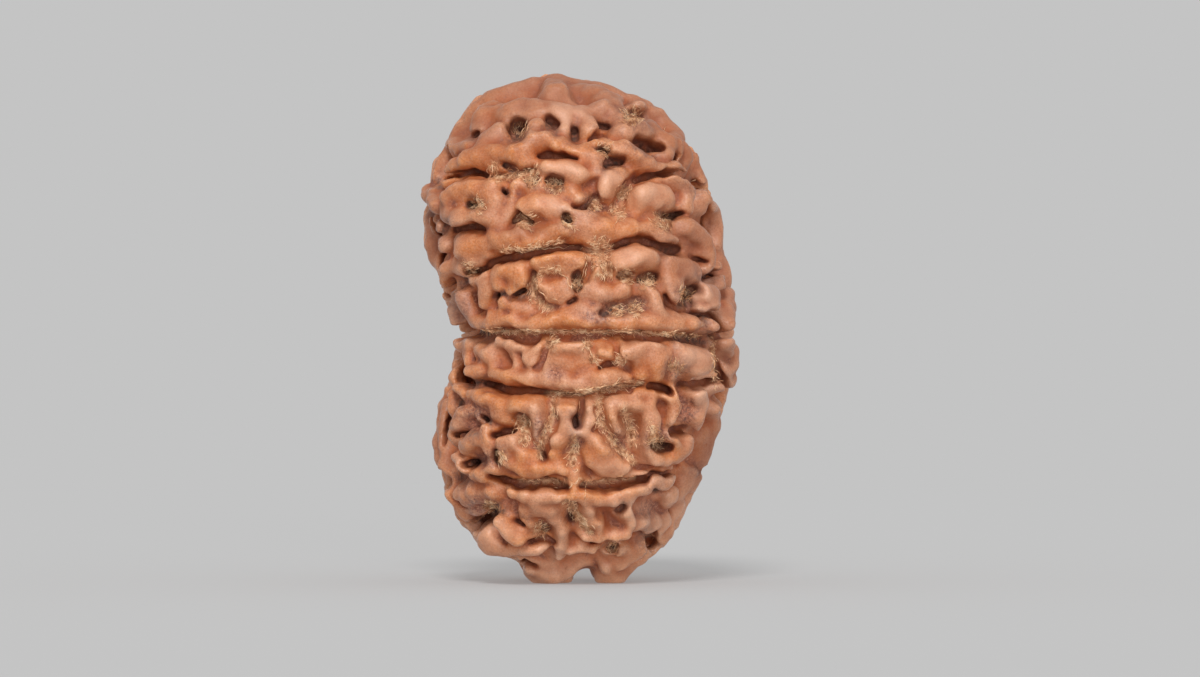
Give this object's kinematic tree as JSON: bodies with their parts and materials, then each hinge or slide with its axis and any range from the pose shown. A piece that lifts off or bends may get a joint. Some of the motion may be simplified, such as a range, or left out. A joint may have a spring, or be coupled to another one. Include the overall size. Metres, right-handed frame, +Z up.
{
  "type": "rudraksha seed",
  "caption": "Upright kidney-shaped rudraksha seed with deep lines from pole to pole and knobbly ridges and pits between them.",
  "frame": {"origin": "on the surface that the seed stands on, under the middle of its box", "axes": "+Z up along the long side, X from pole to pole with the notch of the kidney at -X, -Y the face in the picture"},
  "size_m": [0.0184, 0.0207, 0.0302],
  "materials": {
    "seed_shell": "satin, dry woody stone, pinkish tan on the ridges and brown in the pits"
  },
  "bodies": {
    "root": {"seed": "seed_shell"}
  },
  "joints": []
}
